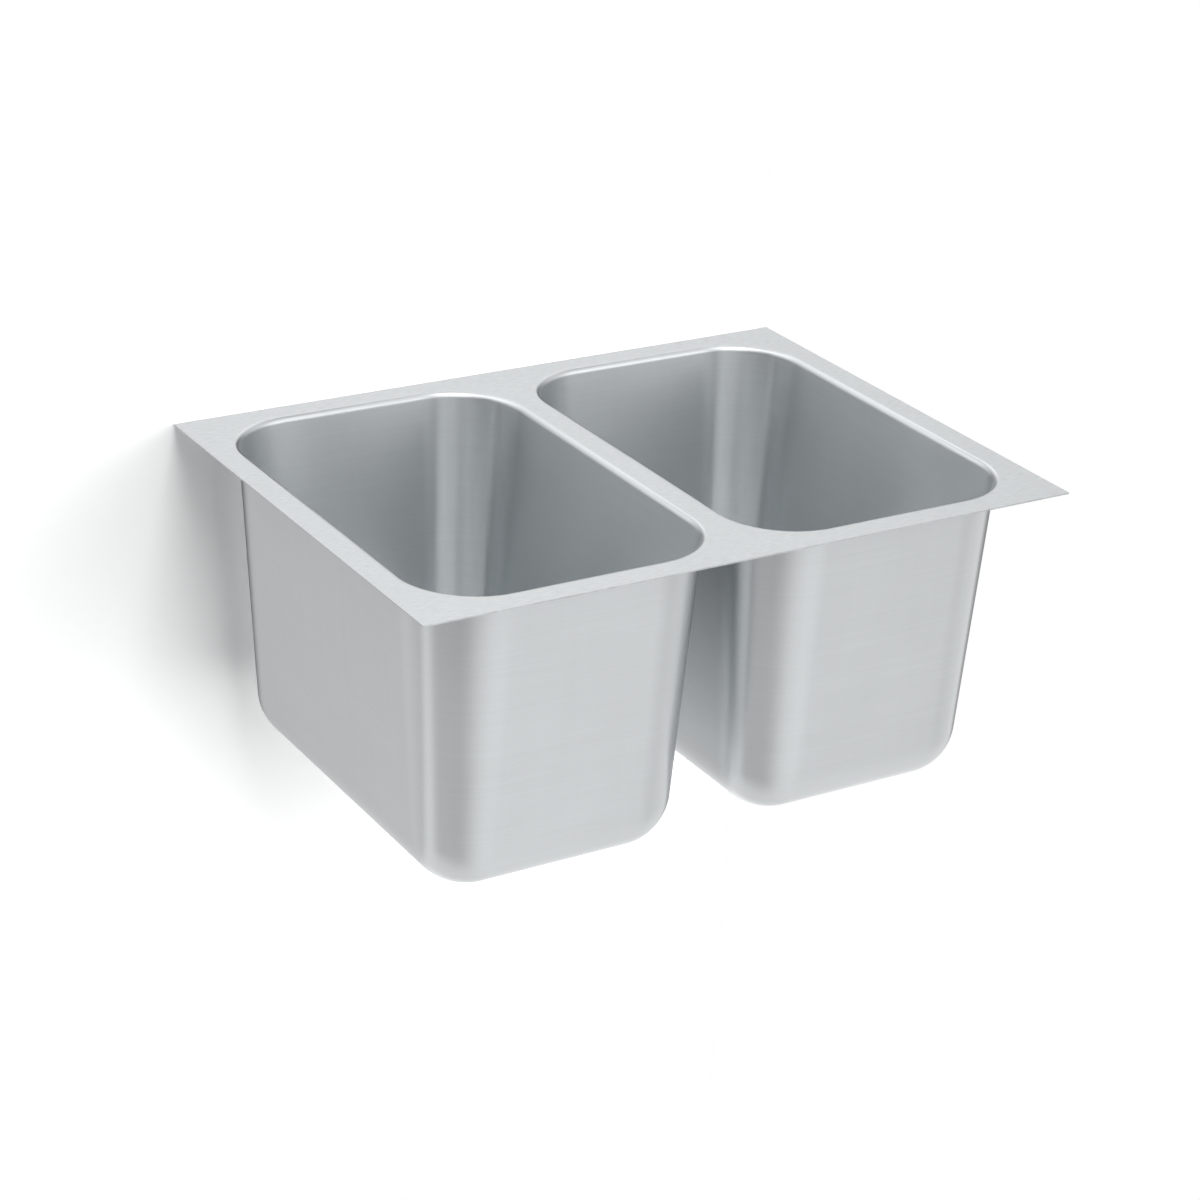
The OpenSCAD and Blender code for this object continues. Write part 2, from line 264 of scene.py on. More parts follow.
def rim_steel():
    """Flat of the rim, ground along the sink in short strokes across both bowls."""
    material, shader, place = new_finish("rim_steel", Metallic=1.0)
    strokes = noise(place, (110.0, 950.0, 9.0), 4.0, 0.6) - 0.5
    cloud = noise(place, CLOUDS, 2.0, 0.5) - 0.5
    tone(0.5 + strokes * 2.4 + cloud * 0.3, steel(0.58), steel(0.73)).feed(shader, "Base Color")
    (0.42 + strokes * 0.16 + cloud * 0.03).feed(shader, "Roughness")
    bump(strokes, 0.2, 0.00004).feed(shader, "Normal")
    return material


def turned_steel(name, level, roughness, lines):
    """Spun or turned steel, with fine rings at lines to the metre along its axis."""
    material, shader, place = new_finish(name, Metallic=1.0)
    rings = noise(place, (12.0, 12.0, lines), 3.0, 0.6)
    cloud = noise(place, 60.0, 2.0, 0.5)
    tone(rings * 0.5 + cloud * 0.5, steel(level * 0.86), steel(level * 1.1)).feed(
        shader, "Base Color")
    (roughness - 0.08 + rings * 0.1 + cloud * 0.06).feed(shader, "Roughness")
    bump(rings, 0.15, 0.00003).feed(shader, "Normal")
    return material


def weld_bead():
    """Bead left by the torch, straw and blue grey in turns along its length."""
    material, shader, place = new_finish("weld_bead", Metallic=1.0)
    heat = noise(place, (30.0, 55.0, 30.0), 3.0, 0.6)
    scale = noise(place, 900.0, 2.0, 0.6)
    colours = heat.node("ValToRGB", {"Fac": heat}, stops=(
        (0.35, (0.36, 0.37, 0.40, 1.0)), (0.62, (0.56, 0.50, 0.42, 1.0))))
    colours.feed(shader, "Base Color")
    (0.32 + scale * 0.2).feed(shader, "Roughness")
    bump(scale, 0.3, 0.00008).feed(shader, "Normal")
    return material


def cast_metal():
    """Plated casting of the locknut, with a fine pebbled skin."""
    material, shader, place = new_finish("locknut_metal", Metallic=1.0)
    skin = noise(place, 700.0, 3.0, 0.6)
    cloud = noise(place, 40.0, 2.0, 0.5)
    tone(cloud * 0.6 + skin * 0.4, grey(0.42), grey(0.62)).feed(shader, "Base Color")
    (0.38 + skin * 0.16).feed(shader, "Roughness")
    bump(skin, 0.35, 0.00012).feed(shader, "Normal")
    return material


def soft_ring(name, dark, light, roughness, grain, depth):
    """Rubber or putty, with a fine skin of grain to the metre and of that depth."""
    material, shader, place = new_finish(name)
    skin = noise(place, grain, 4.0, 0.6)
    cloud = noise(place, 45.0, 2.0, 0.5)
    tone(skin * 0.5 + cloud * 0.5, dark, light).feed(shader, "Base Color")
    (roughness - 0.08 + skin * 0.16).feed(shader, "Roughness")
    bump(skin, 0.4, depth).feed(shader, "Normal")
    return material


def fibre_card():
    """Pressed card, with short flecks in all directions."""
    material, shader, place = new_finish("fibre_card")
    flecks = noise(place, (1500.0, 350.0, 900.0), 4.0, 0.7)
    crossed = noise(place, (350.0, 1500.0, 900.0), 4.0, 0.7)
    tone(flecks * 0.5 + crossed * 0.5, (0.30, 0.20, 0.11, 1.0), (0.58, 0.43, 0.27, 1.0)).feed(
        shader, "Base Color")
    (0.75 + flecks * 0.2).feed(shader, "Roughness")
    bump(flecks + crossed, 0.5, 0.0001).feed(shader, "Normal")
    return material


FINISHES = {
    "bowl_steel": bowl_steel(),
    "rim_steel": rim_steel(),
    "weld_bead": weld_bead(),
    "strainer_steel": turned_steel("strainer_steel", 0.68, 0.20, 1400.0),
    "locknut_metal": cast_metal(),
    "post_steel": turned_steel("post_steel", 0.70, 0.22, 1800.0),
    "knob_steel": turned_steel("knob_steel", 0.74, 0.16, 2200.0),
    "spring_steel": turned_steel("spring_steel", 0.50, 0.28, 2000.0),
    "putty": soft_ring(
        "putty", (0.42, 0.40, 0.36, 1.0), (0.56, 0.54, 0.49, 1.0), 0.7, 260.0, 0.0003),
    "gasket_rubber": soft_ring("gasket_rubber", grey(0.016), grey(0.034), 0.62, 900.0, 0.0001),
    "stopper_rubber": soft_ring("stopper_rubber", grey(0.012), grey(0.028), 0.48, 1300.0, 0.00006),
    "fibre_card": fibre_card(),
}


def finished(bm, name, slot, body, smooth_below=38.0, modifiers=()):
    """Makes a mesh a piece that stands for the node of its name."""
    mesh = bpy.data.meshes.new(name)
    bm.to_mesh(mesh)
    bm.free()
    mesh.shade_smooth()
    mesh.set_sharp_from_angle(angle=math.radians(smooth_below))
    mesh.materials.append(FINISHES[slot])
    piece = bpy.data.objects.new(name + "_look", mesh)
    bpy.context.scene.collection.objects.link(piece)
    for kind, settings in modifiers:
        modifier = piece.modifiers.new(kind.lower(), kind)
        for setting, value in settings.items():
            setattr(modifier, setting, value)
    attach(piece, body)
    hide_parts(name)
    return piece


def add_mesh(bm, other):
    """Adds the faces of another mesh in the making, and frees that one."""
    mesh = bpy.data.meshes.new("added")
    other.to_mesh(mesh)
    other.free()
    bm.from_mesh(mesh)
    bpy.data.meshes.remove(mesh)


def everything(bm):
    return bm.verts[:] + bm.edges[:] + bm.faces[:]


def points_in(made):
    """The points among the parts that an operator made."""
    return [part for part in made if isinstance(part, bmesh.types.BMVert)]


def edges_in(made):
    """The edges among the parts that an operator made."""
    return [part for part in made if isinstance(part, bmesh.types.BMEdge)]


def extend(bm, loop):
    """Extrudes a loop of edges in place and returns the new points and edges."""
    made = bmesh.ops.extrude_edge_only(bm, edges=loop)["geom"]
    points = points_in(made)
    fresh = set(points)
    return points, [edge for edge in edges_in(made) if fresh.issuperset(edge.verts)]


def close_ends(bm):
    """Fills the open ends and turns all faces outwards."""
    bmesh.ops.holes_fill(bm, edges=[edge for edge in bm.edges if edge.is_boundary], sides=0)
    bmesh.ops.recalc_face_normals(bm, faces=bm.faces[:])


def soften(bm, width, sharper_than, segments=2):
    """Rounds every edge that is sharper than an angle in degrees."""
    limit = math.radians(sharper_than)
    sharp = [edge for edge in bm.edges if edge.is_manifold and edge.calc_face_angle() > limit]
    bmesh.ops.bevel(bm, geom=sharp, offset=width, offset_type="OFFSET", segments=segments,
                    profile=0.5, affect="EDGES", material=-1, clamp_overlap=True)


# Bowls
rim_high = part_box("bowl_right")[1]
seat_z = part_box("flange_seal_right")[0].z
drain_low, drain_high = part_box("strainer_body_right")
drain_axis = (drain_low + drain_high) / 2
floor_z = seat_z + SEAT_DEPTH
open_half_x = (rim_high.x - RIM_WIDTH - DIVIDER_WIDTH / 2) / 2
open_half_y = rim_high.y - RIM_WIDTH
bowl_x = DIVIDER_WIDTH / 2 + open_half_x
core_x = open_half_x - CORNER_RADIUS
core_y = open_half_y - CORNER_RADIUS
CORNERS = ((-1, -1), (1, -1), (1, 1), (-1, 1))


def middle_x(side):
    """Where a bowl and its drain stand across the sink."""
    return bowl_x if side == "right" else -bowl_x


def wall_section():
    """Distances from a corner's centre and heights, from the rim down to the flat floor."""
    lean = math.degrees(WALL_LEAN)
    bends = ROLL_RADIUS + FLOOR_RADIUS
    floor_inset = bends * math.cos(WALL_LEAN) + math.tan(WALL_LEAN) * (
        -floor_z - bends * (1 - math.sin(WALL_LEAN)))
    roll = arc((CORNER_RADIUS, -ROLL_RADIUS), ROLL_RADIUS, 90, 180 - lean, ROLL_STEPS)
    curve = arc((CORNER_RADIUS - floor_inset, floor_z + FLOOR_RADIUS), FLOOR_RADIUS,
                -lean, -90, CURVE_STEPS)
    top, foot = Vector(roll[-1]), Vector(curve[0])
    step = (foot - top).normalized() * SUPPORT
    flat = (curve[-1][0] - SUPPORT / 2, floor_z)
    return roll + [tuple(top + step), tuple(foot - step)] + curve + [flat]


def bowl_skin(side):
    """The bowl's upper skin, centred on its opening."""
    bm = bmesh.new()
    reach = CORNER_RADIUS + SUPPORT
    corners = [bm.verts.new((x * (core_x + reach), y * (core_y + reach), 0.0)) for x, y in CORNERS]
    bm.faces.new(corners)
    bmesh.ops.bevel(bm, geom=corners, offset=reach, offset_type="OFFSET", segments=CORNER_STEPS,
                    profile=0.5, affect="VERTICES", material=-1)
    bmesh.ops.delete(bm, geom=bm.faces[:], context="FACES_ONLY")
    loop = bm.edges[:]
    for next_reach, height in wall_section():
        points, loop = extend(bm, loop)
        for x, y in CORNERS:
            group = [point for point in points if point.co.x * x > 0 and point.co.y * y > 0]
            bmesh.ops.scale(bm, vec=(next_reach / reach, next_reach / reach, 1.0), verts=group,
                            space=Matrix.Translation((-x * core_x, -y * core_y, 0.0)))
        bmesh.ops.translate(bm, vec=(0.0, 0.0, height - points[0].co.z), verts=points)
        reach = next_reach
    for axis, core in ((Vector((1, 0, 0)), core_x), (Vector((0, 1, 0)), core_y)):
        for end in (-1, 1):
            bmesh.ops.bisect_plane(bm, geom=everything(bm), plane_no=axis,
                                   plane_co=axis * end * (core - SUPPORT))
    open_edges = [edge for edge in bm.edges if edge.is_boundary]
    opening = [edge for edge in open_edges if edge.verts[0].co.z > -SUPPORT]
    floor_edge = [edge for edge in open_edges if edge.verts[0].co.z < -SUPPORT]
    add_rim(bm, opening, side)
    add_floor(bm, floor_edge)
    return bm


def add_rim(bm, opening, side):
    """Fills from the opening to the rim's square corners."""
    inner = -bowl_x if side == "right" else bowl_x
    outer = open_half_x + RIM_WIDTH if side == "right" else -open_half_x - RIM_WIDTH
    square = [bm.verts.new(place) for place in (
        (inner, -rim_high.y, 0.0), (outer, -rim_high.y, 0.0),
        (outer, rim_high.y, 0.0), (inner, rim_high.y, 0.0))]
    edges = [bm.edges.new((square[i - 1], square[i])) for i in range(4)]
    bmesh.ops.triangle_fill(bm, use_beauty=True, edges=opening + edges, normal=(0, 0, 1))


def add_floor(bm, floor_edge):
    """Fills from the walls to the drain, whose seat is pressed down round the hole."""
    centre = Matrix.Translation((0.0, drain_axis.y, floor_z))
    mouth = SEAT_MOUTH + SUPPORT
    circle = bmesh.ops.create_circle(bm, segments=SEAT_STEPS, radius=mouth, matrix=centre)["verts"]
    loop = sorted({edge for point in circle for edge in point.link_edges},
                  key=lambda edge: edge.index)
    bmesh.ops.triangle_fill(bm, use_beauty=True, edges=floor_edge + loop, normal=(0, 0, 1))
    radius = mouth
    bends = []
    for next_radius, drop in ((SEAT_MOUTH, 0.0), (SEAT_FLAT, SEAT_DEPTH), (FLOOR_HOLE, 0.0)):
        points, loop = extend(bm, loop)
        share = next_radius / radius
        bmesh.ops.scale(bm, vec=(share, share, 1.0), verts=points, space=centre.inverted())
        bmesh.ops.translate(bm, vec=(0.0, 0.0, -drop), verts=points)
        radius = next_radius
        bends.append(loop)
    bmesh.ops.bevel(bm, geom=bends[0] + bends[1], offset=SEAT_DEPTH / 3, offset_type="OFFSET",
                    segments=4, profile=0.5, affect="EDGES", material=-1)


def make_bowl(side):
    """One bowl with its half of the rim, whose flat takes the second finish."""
    bm = bowl_skin(side)
    bmesh.ops.remove_doubles(bm, verts=bm.verts[:], dist=SHEET / 1000)
    bmesh.ops.recalc_face_normals(bm, faces=bm.faces[:])
    rim = max(bm.faces, key=lambda face: face.calc_center_median().z)
    if rim.normal.z < 0:
        bmesh.ops.reverse_faces(bm, faces=bm.faces[:])
    bmesh.ops.translate(bm, vec=(middle_x(side), 0.0, 0.0), verts=bm.verts[:])
    for face in bm.faces:
        on_rim = face.calc_center_median().z > -SHEET / 10
        face.material_index = int(on_rim)
    bowl = finished(bm, "bowl_" + side, "bowl_steel", "sink", smooth_below=50.0, modifiers=(
        ("SOLIDIFY", {"thickness": SHEET, "offset": -1.0, "use_even_offset": True}),
        ("BEVEL", {"width": SHEET / 6, "segments": 2, "limit_method": "ANGLE",
                   "angle_limit": math.radians(60)}),
        ("WEIGHTED_NORMAL", {"keep_sharp": True})))
    bowl.data.materials.append(FINISHES["rim_steel"])


def make_weld():
    """Bead under the divider, laid down in crescents from the front to the back."""
    low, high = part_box("divider_weld")
    low.y += WELD_INSET
    high.y -= WELD_INSET
    radius = (high.x - low.x) / 2
    crescent = WELD_BOW * radius
    bm = bmesh.new()
    section = [bm.verts.new((x, low.y - crescent - z / radius * crescent, high.z + z))
               for x, z in arc((0.0, 0.0), radius, 180, 360, 12)]
    loop = [bm.edges.new((section[i - 1], section[i])) for i in range(len(section))]
    step = WELD_RIPPLE / WELD_ROWS
    axis = Matrix.Translation((0.0, 0.0, -high.z))
    share = 1.0
    for row in range(1, WELD_ROWS + 1):
        points, loop = extend(bm, loop)
        next_share = 1.0 - WELD_DIP * (row % WELD_ROWS) / WELD_ROWS
        bmesh.ops.translate(bm, vec=(0.0, step, 0.0), verts=points)
        squeeze = next_share / share
        bmesh.ops.scale(bm, vec=(squeeze, 1.0, squeeze), verts=points, space=axis)
        share = next_share
    length = WELD_RIPPLE
    while length < high.y - low.y + 2 * crescent:
        copied = bmesh.ops.duplicate(bm, geom=everything(bm))["geom"]
        bmesh.ops.translate(bm, vec=(0.0, length, 0.0), verts=points_in(copied))
        length *= 2
    bmesh.ops.remove_doubles(bm, verts=bm.verts[:], dist=step / 20)
    for y, outward in ((low.y, -1), (high.y, 1)):
        cut = bmesh.ops.bisect_plane(bm, geom=everything(bm), clear_outer=True,
                                     plane_co=(0.0, y, 0.0), plane_no=(0.0, outward, 0.0))
        bmesh.ops.triangle_fill(bm, use_beauty=True, edges=edges_in(cut["geom_cut"]),
                                normal=(0, outward, 0))
    for point in bm.verts:
        share = min((point.co.y - low.y) / WELD_TAPER, (high.y - point.co.y) / WELD_TAPER, 1.0)
        swell = WELD_TIP + (1 - WELD_TIP) * math.sqrt(max(1 - (1 - share) ** 2, 0.0))
        point.co.x *= swell
        point.co.z = high.z + (point.co.z - high.z) * swell
    bmesh.ops.recalc_face_normals(bm, faces=bm.faces[:])
    finished(bm, "divider_weld", "weld_bead", "sink")


# Drain parts
def drain_box(node):
    """Radius, foot and top of a drain's round node, in millimetres from the seat."""
    low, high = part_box(node + "_right")
    return (high.x - low.x) / 2 / MM, (low.z - seat_z) / MM, (high.z - seat_z) / MM


flange_r, outlet_end, flange_top = drain_box("strainer_body")
body_r = THREAD_RADIUS - THREAD_HEIGHT
cup_r = body_r - BODY_WALL
funnel_wall = BODY_WALL / math.cos(FUNNEL_SLOPE)
outlet_top = -CUP_DEPTH - (body_r - OUTLET_RADIUS) * math.tan(FUNNEL_SLOPE)


def funnel_z(radius):
    """Height of the funnel's inner face."""
    return -CUP_DEPTH - (body_r - radius) * math.tan(FUNNEL_SLOPE) + funnel_wall


def turned(section, steps=TURN_STEPS, sweep=360.0, closed=True):
    """Spins a section of radii and heights round the axis."""
    bm = bmesh.new()
    points = [bm.verts.new((radius, 0.0, height)) for radius, height in section]
    pairs = list(zip(points, points[1:])) + ([(points[-1], points[0])] if closed else [])
    edges = [bm.edges.new(pair) for pair in pairs]
    bmesh.ops.spin(bm, geom=points + edges, cent=(0, 0, 0), axis=(0, 0, 1), steps=steps,
                   angle=math.radians(sweep), use_merge=sweep == 360.0)
    bmesh.ops.remove_doubles(bm, verts=bm.verts[:], dist=0.001)
    bmesh.ops.recalc_face_normals(bm, faces=bm.faces[:])
    return bm


def at_drain(bm, side):
    """Moves a mesh from millimetres on the axis to its place under a bowl."""
    bmesh.ops.scale(bm, vec=(MM, MM, MM), verts=bm.verts[:])
    bmesh.ops.translate(bm, vec=(middle_x(side), drain_axis.y, seat_z), verts=bm.verts[:])
    return bm


def draw_arms(bm, count, first_angle, foot, top, beyond, half_angle, reach):
    """Draws out the outer faces between two heights, at equal angles round the axis."""
    for arm in range(count):
        angle = first_angle + 2 * math.pi * arm / count
        out = Vector((math.cos(angle), math.sin(angle), 0.0))
        faces = [face for face in bm.faces
                 if foot < face.calc_center_median().z < top
                 and face.calc_center_median().xy.length > beyond
                 and face.calc_center_median().xy.angle(out.xy) < half_angle]
        made = bmesh.ops.extrude_face_region(bm, geom=faces)["geom"]
        bmesh.ops.translate(bm, vec=out * reach, verts=points_in(made))
        bmesh.ops.delete(bm, geom=faces, context="FACES_ONLY")
    bmesh.ops.recalc_face_normals(bm, faces=bm.faces[:])


def thread(radius, start, turns):
    """Helical ridge on a cylinder, downwards from a height."""
    crest = THREAD_PITCH / 4
    flank = THREAD_HEIGHT + crest / 2
    sink = 0.4
    ridge = [(radius - sink, -flank), (radius, -flank), (radius + THREAD_HEIGHT, -crest / 2),
             (radius + THREAD_HEIGHT, crest / 2), (radius, flank), (radius - sink, flank)]
    bm = bmesh.new()
    points = [bm.verts.new((r, 0.0, start + z)) for r, z in ridge]
    edges = [bm.edges.new((points[i - 1], points[i])) for i in range(len(points))]
    bm.faces.new(points)
    steps = THREAD_STEPS * turns
    spun = bmesh.ops.spin(bm, geom=points + edges, cent=(0, 0, 0), axis=(0, 0, 1), steps=steps,
                          angle=2 * math.pi * turns, dvec=(0, 0, -THREAD_PITCH * turns / steps))
    bmesh.ops.contextual_create(bm, geom=edges_in(spun["geom_last"]))
    bmesh.ops.recalc_face_normals(bm, faces=bm.faces[:])
    return bm


def make_strainer_body(side):
    """Spun body: flange, rolled mouth, cup, funnel and outlet."""
    mouth = (cup_r + MOUTH_ROLL, flange_top - MOUTH_ROLL)
    edge = 0.7
    outlet_bore = OUTLET_RADIUS - OUTLET_WALL
    section = (
        arc((flange_r - edge, flange_top - edge), edge, -90, 90, 6)
        + arc(mouth, MOUTH_ROLL, 90, 180, 8)
        + [(cup_r, funnel_z(cup_r)), (outlet_bore, funnel_z(outlet_bore)),
           (outlet_bore, outlet_end), (OUTLET_RADIUS, outlet_end),
           (OUTLET_RADIUS, outlet_top), (body_r, -CUP_DEPTH)]
        + arc(mouth, MOUTH_ROLL - BODY_WALL, 180, 90, 6))
    bm = turned(section)
    soften(bm, 0.9, sharper_than=20.0, segments=3)
    add_mesh(bm, thread(body_r, drain_box("locknut")[1] + THREAD_PITCH, 2))
    finished(at_drain(bm, side), "strainer_body_" + side, "strainer_steel", "sink")


def make_ring(node, slot, side, bore, round_off, bulge=0.0):
    """Flat ring with rounded edges, whose outer edge may bulge where it is squeezed."""
    radius, foot, top = drain_box(node)
    middle = (foot + top) / 2
    bm = turned([(bore, foot), (radius - bulge, foot), (radius, middle), (radius - bulge, top),
                 (bore, top)])
    soften(bm, round_off, sharper_than=15.0, segments=3)
    finished(at_drain(bm, side), node + "_" + side, slot, "sink")


def make_locknut(side):
    """Cast nut whose lugs stop short of its upper face."""
    radius, foot, top = drain_box("locknut")
    steps = 120
    lug_count = 6
    lug_steps = 4
    lug_reach = 6.0
    lug_top = top - 2.0
    wall_r = radius - lug_reach
    running_fit = 0.08
    bore = THREAD_RADIUS + running_fit
    section = [(bore, foot), (wall_r, foot), (wall_r, lug_top), (wall_r, top), (bore, top)]
    bm = turned(section, steps)
    draw_arms(bm, lug_count, 0.0, foot, lug_top, beyond=bore + 3.0,
              half_angle=math.pi * lug_steps / steps, reach=lug_reach)
    soften(bm, 0.6, sharper_than=40.0)
    finished(at_drain(bm, side), "locknut_" + side, "locknut_metal", "sink")


def make_cross(side):
    """Four bars from the outlet's wall to the hub that guides the post."""
    foot, top = drain_box("strainer_cross")[1:]
    bar_reach = OUTLET_RADIUS - OUTLET_WALL
    hub_r = 6.0
    bore = 2.58
    pocket = 3.86
    pocket_foot = top - 1.28
    bar_count = 4
    bar_top = foot + 2.2
    steps = 32
    bm = turned([(bore, foot), (hub_r, foot), (hub_r, bar_top), (hub_r, top), (pocket, top),
                 (pocket, pocket_foot), (bore, pocket_foot)], steps)
    draw_arms(bm, bar_count, math.pi / 4, foot, bar_top, beyond=hub_r - 0.5,
              half_angle=3 * math.pi / steps - 0.01, reach=bar_reach - hub_r)
    soften(bm, 0.25, sharper_than=40.0)
    finished(at_drain(bm, side), "strainer_cross_" + side, "strainer_steel", "sink")


def make_detent_ring(side):
    """Open ring of spring wire, with rounded ends."""
    radius, foot, top = drain_box("detent_ring")
    wire = (top - foot) / 2
    middle = (foot + top) / 2
    bm = turned(arc((radius - wire, middle), wire, 0, 330, 11), 60, 300.0)
    bmesh.ops.rotate(bm, cent=(0, 0, 0), matrix=Matrix.Rotation(math.radians(30), 3, "Z"),
                     verts=bm.verts[:])
    close_ends(bm)
    soften(bm, 0.25, sharper_than=60.0)
    finished(at_drain(bm, side), "detent_ring_" + side, "spring_steel", "sink")


def column_of(point):
    """Number of a point's column round the basket."""
    degrees = math.degrees(math.atan2(point.co.y, point.co.x))
    return round(degrees * BASKET_COLUMNS / 360) % BASKET_COLUMNS


def pierce_holes(bm):
    """Opens a hole about each chosen point and draws its edge out to a circle."""
    step = BASKET_COLUMNS // HOLE_COUNT
    drawn_radius = HOLE_RADIUS * 1.08  # subdivision draws it in again
    for hole in range(HOLE_COUNT):
        row = HOLE_ROWS[hole % 2]
        centre = next(point for point in bm.verts
                      if abs(point.co.xy.length - row) < 0.01 and column_of(point) == hole * step)
        around = {point for face in centre.link_faces for point in face.verts} - {centre}
        for point in around:
            point.co = centre.co + (point.co - centre.co).normalized() * drawn_radius
        bmesh.ops.delete(bm, geom=[centre], context="VERTS")


def pierce_slots(bm, foot, top):
    """Opens an upright slot between two heights of the wall, at every few columns."""
    step = BASKET_COLUMNS // SLOT_COUNT
    in_wall = [point for point in bm.verts if foot - 0.01 < point.co.z < top + 0.01]
    column_angle = math.radians(360 / BASKET_COLUMNS)
    for side, column in ((-1, 1), (1, step - 1)):
        beside = [point for point in in_wall if column_of(point) % step == column]
        middle = sum(point.co.xy.length for point in beside) / len(beside)
        turn = side * (column_angle - SLOT_WIDTH / 2 / middle)
        bmesh.ops.rotate(bm, cent=(0, 0, 0), matrix=Matrix.Rotation(turn, 3, "Z"), verts=beside)
    inside = [point for point in in_wall
              if column_of(point) % step == 0 and foot + 0.01 < point.co.z < top - 0.01]
    bmesh.ops.delete(bm, geom=inside, context="VERTS")


def make_basket(side):
    """Pierced cup: holes in the floor, slots in the wall and a flat rim."""
    radius, foot, top = drain_box("basket_cup")
    floor = foot + BASKET_SHEET
    floor_r = 31.2
    wall_r = 38.8
    slope = (wall_r - floor_r) / (top - floor)
    slot_foot, slot_top = floor + 2.5, -5.0
    beside = 1.5
    section = [(POST_RADIUS, floor), (COLLAR_RADIUS, floor), (14.0, floor), (19.0, floor)]
    section += [(HOLE_ROWS[1] + offset, floor) for offset in (-2.4, -beside, 0.0, beside)]
    section += [(HOLE_ROWS[0] + offset, floor) for offset in (-beside, 0.0, beside)]
    section += [(floor_r - 0.7, floor), (floor_r + 0.15, floor + 0.5)]
    heights = [slot_foot - 1.0] + [slot_foot + (slot_top - slot_foot) * i / 6 for i in range(7)]
    heights += [slot_top + 1.5, -1.6]
    section += [(floor_r + slope * (height - floor), height) for height in heights]
    section += [(wall_r, -0.35), (wall_r + 0.7, top), (radius - 0.5, top), (radius, top)]
    bm = turned(section, BASKET_COLUMNS, closed=False)
    pierce_slots(bm, slot_foot, slot_top)
    pierce_holes(bm)
    if min(bm.faces, key=lambda face: face.calc_center_median().z).normal.z < 0:
        bmesh.ops.reverse_faces(bm, faces=bm.faces[:])
    thickened = (
        ("SUBSURF", {"levels": 1, "render_levels": 1}),
        ("SOLIDIFY", {"thickness": BASKET_SHEET * MM, "offset": -1.0, "use_even_offset": True}),
        ("BEVEL", {"width": 0.00012, "segments": 1, "limit_method": "ANGLE",
                   "angle_limit": math.radians(50)}),
        ("WEIGHTED_NORMAL", {"keep_sharp": True}))
    finished(at_drain(bm, side), "basket_cup_" + side, "strainer_steel", "basket_" + side,
             modifiers=thickened)


def make_post(side):
    """Rod with a tapered foot, two grooves for the spring ring, and a collar on the floor."""
    foot = drain_box("basket_post")[1]
    stem_top = drain_box("basket_knob")[2] - 4.0
    wire_foot, wire_top = drain_box("detent_ring")[1:]
    floor = drain_box("basket_cup")[1] + BASKET_SHEET
    tip, groove, flank = 0.8, 0.3, 0.15
    section = [(0.0, foot), (POST_RADIUS - tip, foot), (POST_RADIUS, foot + tip)]
    for drop in (DRAIN_LIFT, 0.0):
        low, high = wire_foot - drop, wire_top - drop
        section += [(POST_RADIUS, low), (POST_RADIUS - groove, low + flank),
                    (POST_RADIUS - groove, high - flank), (POST_RADIUS, high)]
    section += [(POST_RADIUS, floor), (COLLAR_RADIUS, floor),
                (COLLAR_RADIUS, floor + COLLAR_HEIGHT), (POST_RADIUS, floor + COLLAR_HEIGHT),
                (POST_RADIUS, stem_top), (0.0, stem_top)]
    bm = turned(section, 64, closed=False)
    soften(bm, 0.22, sharper_than=50.0)
    finished(at_drain(bm, side), "basket_post_" + side, "post_steel", "basket_" + side)


def make_knob(side):
    """Turned knob with a dished top and a waist for the fingers."""
    radius, foot, top = drain_box("basket_knob")
    cap_foot = top - 8.0
    stem, edge = 4.25, 2.0
    section = (
        [(POST_RADIUS, foot), (stem, foot)]
        + arc((stem + 2.2, cap_foot - 2.2), 2.2, 180, 90, 6)
        + arc((radius - edge, cap_foot + edge), edge, -90, 0, 6)
        + arc((radius - edge, top - edge), edge, 0, 90, 6)
        + [(radius - edge - 1.2, top - 0.1), (radius - edge - 2.4, top - 0.5), (2.6, top - 0.9),
           (0.0, top - 1.0), (0.0, cap_foot + 4.0), (POST_RADIUS, cap_foot + 4.0)])
    bm = turned(section, closed=False)
    close_ends(bm)
    finished(at_drain(bm, side), "basket_knob_" + side, "knob_steel", "basket_" + side)


def make_stopper(side):
    """Moulded rubber with a thin sealing lip."""
    radius, foot, top = drain_box("stopper")
    neck, flank, edge = 18.0, 3.0, 0.9
    lip = foot + flank * math.tan(FUNNEL_SLOPE)
    foot_r = radius - flank
    section = [(POST_RADIUS, foot), (foot_r - 6.0, foot), (foot_r - 5.0, foot + 0.4),
               (foot_r - 1.0, foot + 0.4), (foot_r, foot), (radius, lip), (radius, lip + edge),
               (neck + 3.0, top - edge - 1.2), (neck, top - edge), (neck, top),
               (POST_RADIUS, top)]
    bm = turned(section)
    soften(bm, 0.3, sharper_than=14.0)
    finished(at_drain(bm, side), "stopper_" + side, "stopper_rubber", "basket_" + side)


def make_nut(side):
    """Hexagon nut with chamfered corners."""
    radius, foot, top = drain_box("stopper_nut")
    middle = Matrix.Translation((0, 0, (foot + top) / 2))
    turn = Matrix.Rotation(math.radians(30), 4, "Z")
    bm = bmesh.new()
    bmesh.ops.create_cone(bm, cap_ends=True, segments=6, radius1=radius, radius2=radius,
                          depth=top - foot, matrix=middle @ turn)
    caps = [face for face in bm.faces if abs(face.normal.z) > 0.9]
    rims = [edge for face in caps for edge in face.edges]
    bmesh.ops.bevel(bm, geom=rims, offset=0.35, offset_type="OFFSET", segments=2, profile=0.5,
                    affect="EDGES", material=-1)
    finished(at_drain(bm, side), "stopper_nut_" + side, "post_steel", "basket_" + side)


